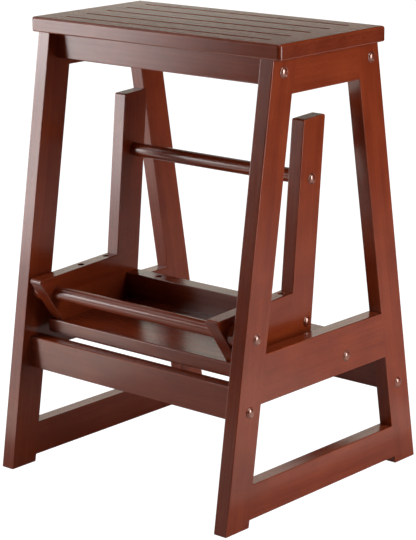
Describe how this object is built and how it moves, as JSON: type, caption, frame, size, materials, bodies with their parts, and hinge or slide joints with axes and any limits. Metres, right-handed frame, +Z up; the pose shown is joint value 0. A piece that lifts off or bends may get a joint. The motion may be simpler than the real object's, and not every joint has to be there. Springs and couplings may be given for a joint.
{
  "type": "folding step stool",
  "caption": "Wooden step stool: splayed side frames carry a grooved top step, and a lower step frame swings out in front or stows inside.",
  "frame": {"origin": "on the floor, under the middle of the stool", "axes": "+Z up, +Y towards the rear, front (where the lower step swings out) towards -Y, +X to the right seen from the front"},
  "size_m": [0.432, 0.4, 0.61],
  "materials": {
    "stained_wood": "red-brown stain under semi-gloss varnish",
    "cap_wood": "red-brown stain under gloss varnish",
    "plain_wood": "bare fluted beech, glued in",
    "zinc_steel": "zinc plated",
    "nylon": "dark moulded nylon"
  },
  "bodies": {
    "stool": {"seat_board": "stained_wood", "left_front_leg": "stained_wood", "right_front_leg": "stained_wood", "left_rear_leg": "stained_wood", "right_rear_leg": "stained_wood", "left_top_rail": "stained_wood", "right_top_rail": "stained_wood", "left_middle_rail": "stained_wood", "right_middle_rail": "stained_wood", "left_bottom_rail": "stained_wood", "right_bottom_rail": "stained_wood", "front_apron": "stained_wood", "rear_apron": "stained_wood", "front_lower_rail": "stained_wood", "rear_lower_rail": "stained_wood", "rest_rail": "stained_wood", "frame_screws": "zinc_steel", "frame_caps": "cap_wood", "seat_screws": "zinc_steel", "left_dowel_pins": "plain_wood", "right_dowel_pins": "plain_wood", "pivot_bushes": "nylon", "pivot_spacers": "stained_wood", "pivot_caps": "cap_wood"},
    "step": {"step_tread": "stained_wood", "step_left_arm": "stained_wood", "step_right_arm": "stained_wood", "step_left_leg": "stained_wood", "step_right_leg": "stained_wood", "step_cross_rail": "stained_wood", "step_pivot_bar": "stained_wood", "step_brace_bar": "stained_wood", "pivot_bolts": "zinc_steel", "step_screws": "zinc_steel", "step_caps": "cap_wood", "tread_screws": "zinc_steel"}
  },
  "joints": [
    {"name": "step_fold", "type": "hinge", "parent": "stool", "child": "step", "pos_m": [0, -0.13843, 0.245], "axis": [1, 0, 0], "range_deg": [0, 177.1]}
  ]
}
